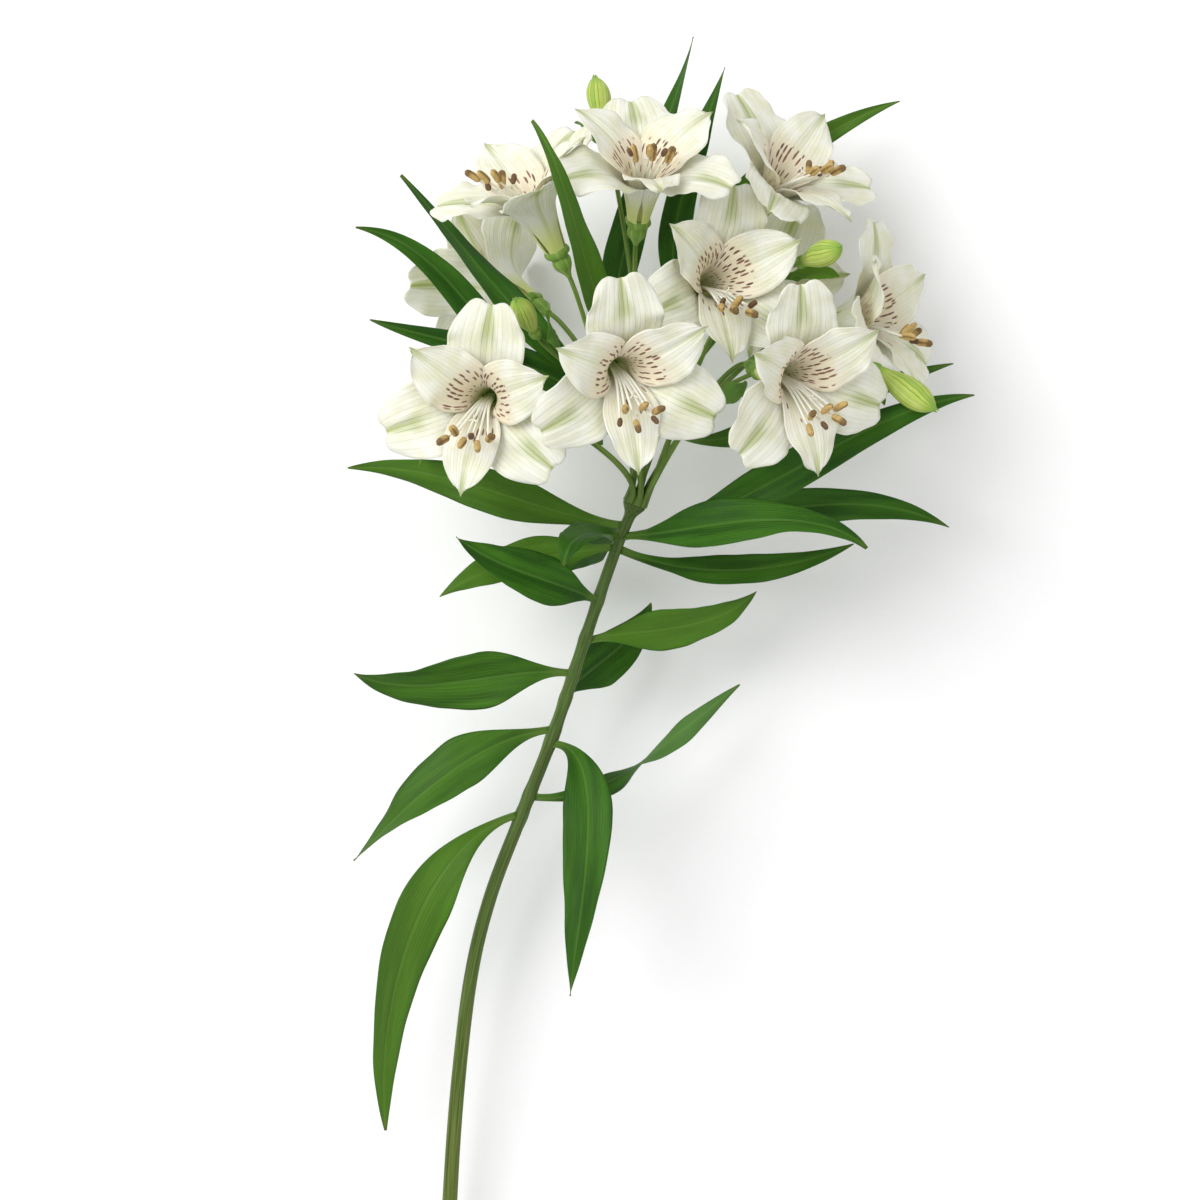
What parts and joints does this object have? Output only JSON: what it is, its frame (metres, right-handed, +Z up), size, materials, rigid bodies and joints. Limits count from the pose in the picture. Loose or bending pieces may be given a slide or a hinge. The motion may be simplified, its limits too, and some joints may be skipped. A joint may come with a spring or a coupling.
{
  "type": "alstroemeria stem",
  "caption": "Single cut stem of white alstroemeria with an umbel of open lily-like flowers, striped buds and lance-shaped leaves, lying on its side.",
  "frame": {"origin": "middle of the footprint, on the surface that the stem lies on", "axes": "+Y runs from the cut end to the flowers, +X runs across, +Z is up, away from the surface"},
  "size_m": [0.2122, 0.4907, 0.1412],
  "materials": {
    "petal": "soft satin petal, white with ivory and pale green shading",
    "stamen": "matte cream filaments with ochre anthers",
    "bud": "satin yellow green with darker stripes",
    "stem": "smooth, slightly waxy, yellowish green",
    "leaf": "satin mid green with fine parallel veins"
  },
  "bodies": {
    "root": {"bloom_far_right": "petal", "bloom_front": "petal", "bloom_left": "petal", "bloom_middle": "petal", "bloom_rest_left": "petal", "bloom_rest_right": "petal", "bloom_right": "petal", "bloom_top": "petal", "bloom_upper_left": "petal", "bloom_upper_right": "petal", "bract_1": "leaf", "bract_2": "leaf", "bract_3": "leaf", "bract_4": "leaf", "bract_5": "leaf", "bract_6": "leaf", "bract_7": "leaf", "bract_8": "leaf", "bud_far_right": "bud", "bud_front": "bud", "bud_left": "bud", "bud_right": "bud", "bud_top": "bud", "bud_upper_right": "bud", "leaf_1": "leaf", "leaf_2": "leaf", "leaf_3": "leaf", "leaf_4": "leaf", "leaf_5": "leaf", "leaf_6": "leaf", "leaf_7": "leaf", "leaf_8": "leaf", "ray_far_right": "stem", "ray_front": "stem", "ray_left": "stem", "ray_middle": "stem", "ray_rest_left": "stem", "ray_rest_right": "stem", "ray_right": "stem", "ray_top": "stem", "ray_upper_right": "stem", "stamens_far_right": "stamen", "stamens_front": "stamen", "stamens_left": "stamen", "stamens_middle": "stamen", "stamens_rest_left": "stamen", "stamens_rest_right": "stamen", "stamens_right": "stamen", "stamens_top": "stamen", "stamens_upper_left": "stamen", "stamens_upper_right": "stamen", "stem": "stem", "whorl_1": "leaf", "whorl_2": "leaf", "whorl_3": "leaf", "whorl_4": "leaf", "whorl_5": "leaf", "whorl_6": "leaf", "whorl_7": "leaf", "whorl_8": "leaf"}
  },
  "joints": []
}
